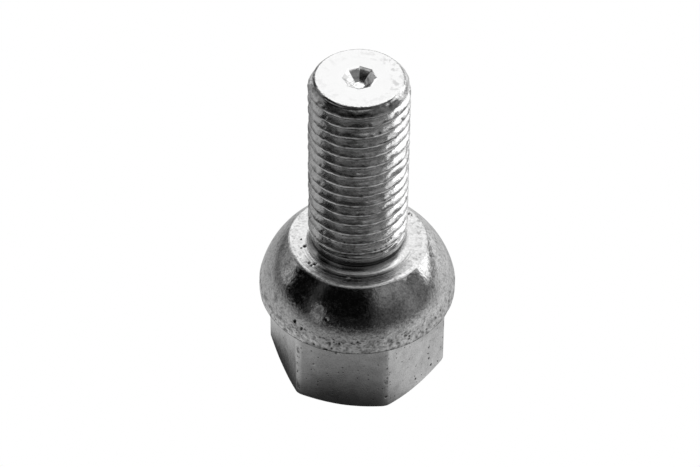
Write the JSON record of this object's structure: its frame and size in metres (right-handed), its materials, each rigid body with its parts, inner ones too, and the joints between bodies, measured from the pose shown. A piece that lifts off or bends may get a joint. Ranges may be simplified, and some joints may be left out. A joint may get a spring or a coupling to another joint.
{
  "type": "wheel bolt",
  "caption": "One-piece steel wheel bolt with a hex head, a ball-seat collar and a plain neck under a fine-threaded shank.",
  "frame": {"origin": "centre of the flat end of the hex head, which the bolt stands on", "axes": "+Z along the bolt's axis, from the head to the end of the shank; two corners of the hex lie on the X axis"},
  "size_m": [0.0234, 0.0234, 0.044],
  "materials": {
    "plated_steel": "bright plated forged steel, ball polished by its seat, hex satin with small pits"
  },
  "bodies": {
    "root": {"wheel_bolt": "plated_steel"}
  },
  "joints": []
}
